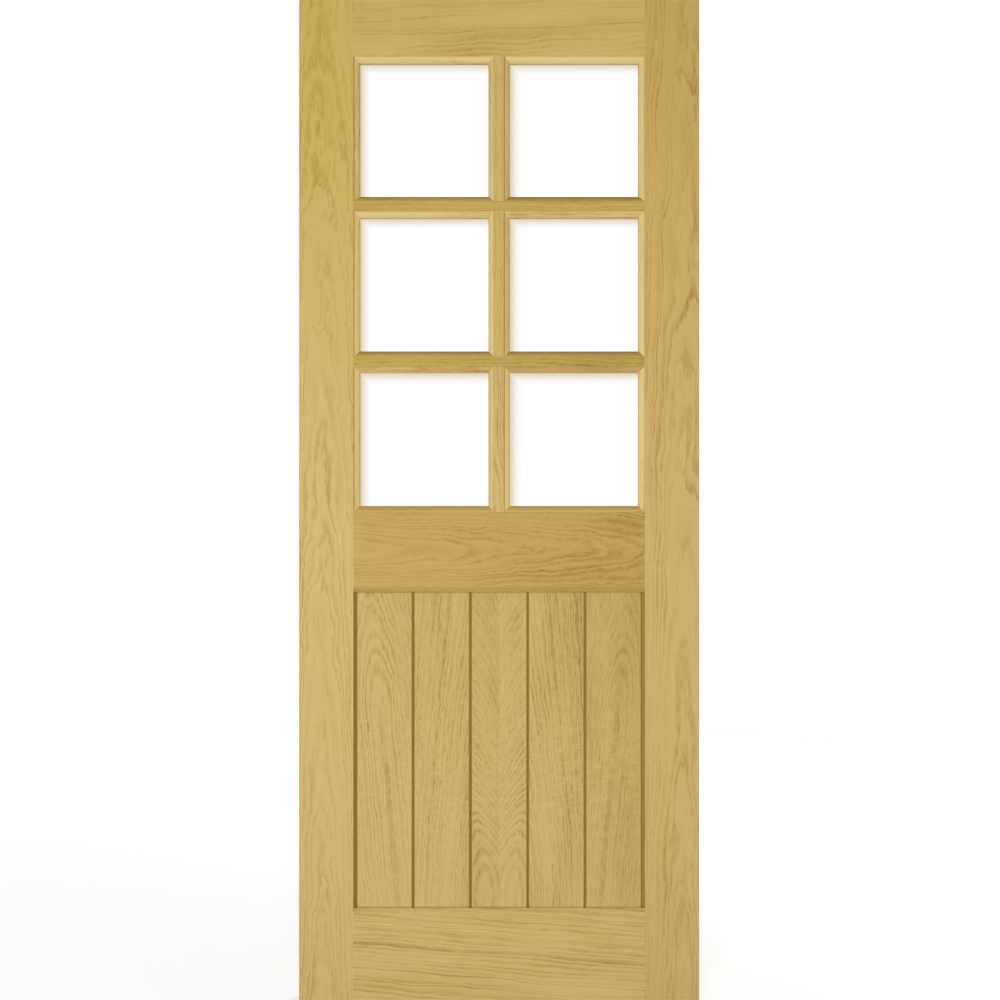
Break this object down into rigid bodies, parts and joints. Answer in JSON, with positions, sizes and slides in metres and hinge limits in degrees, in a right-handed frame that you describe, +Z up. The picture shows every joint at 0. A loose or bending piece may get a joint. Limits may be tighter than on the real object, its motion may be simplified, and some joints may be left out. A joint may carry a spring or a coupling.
{
  "type": "glazed interior door leaf",
  "caption": "Oak interior door leaf with clear bead-glazed panes over a lock rail and a lower panel grooved to look like planks.",
  "frame": {"origin": "on the hinge edge of the leaf, at its foot and half way through its thickness", "axes": "+X across the leaf from the hinge edge to the lock edge, +Y from the front face to the back, +Z up"},
  "size_m": [0.813, 0.035, 2.032],
  "materials": {
    "oak_frame": "clear satin lacquer",
    "oak_lipping": "clear satin lacquer",
    "oak_bars": "clear satin lacquer",
    "oak_beads": "clear satin lacquer",
    "clear_glass": "clear polished, bevelled margin",
    "oak_panel": "clear satin lacquer"
  },
  "bodies": {
    "root": {"left_stile": "oak_frame", "right_stile": "oak_frame", "top_rail": "oak_frame", "lock_rail": "oak_frame", "bottom_rail": "oak_frame", "left_lipping": "oak_lipping", "right_lipping": "oak_lipping", "glazing_bar_1": "oak_bars", "glazing_bar_2": "oak_bars", "mullion_row_1": "oak_bars", "mullion_row_2": "oak_bars", "mullion_row_3": "oak_bars", "front_head_beads": "oak_beads", "front_sill_beads": "oak_beads", "front_left_beads": "oak_beads", "front_right_beads": "oak_beads", "back_head_beads": "oak_beads", "back_sill_beads": "oak_beads", "back_left_beads": "oak_beads", "back_right_beads": "oak_beads", "glass_row_1_column_1": "clear_glass", "glass_row_1_column_2": "clear_glass", "glass_row_2_column_1": "clear_glass", "glass_row_2_column_2": "clear_glass", "glass_row_3_column_1": "clear_glass", "glass_row_3_column_2": "clear_glass", "grooved_panel": "oak_panel"}
  },
  "joints": []
}
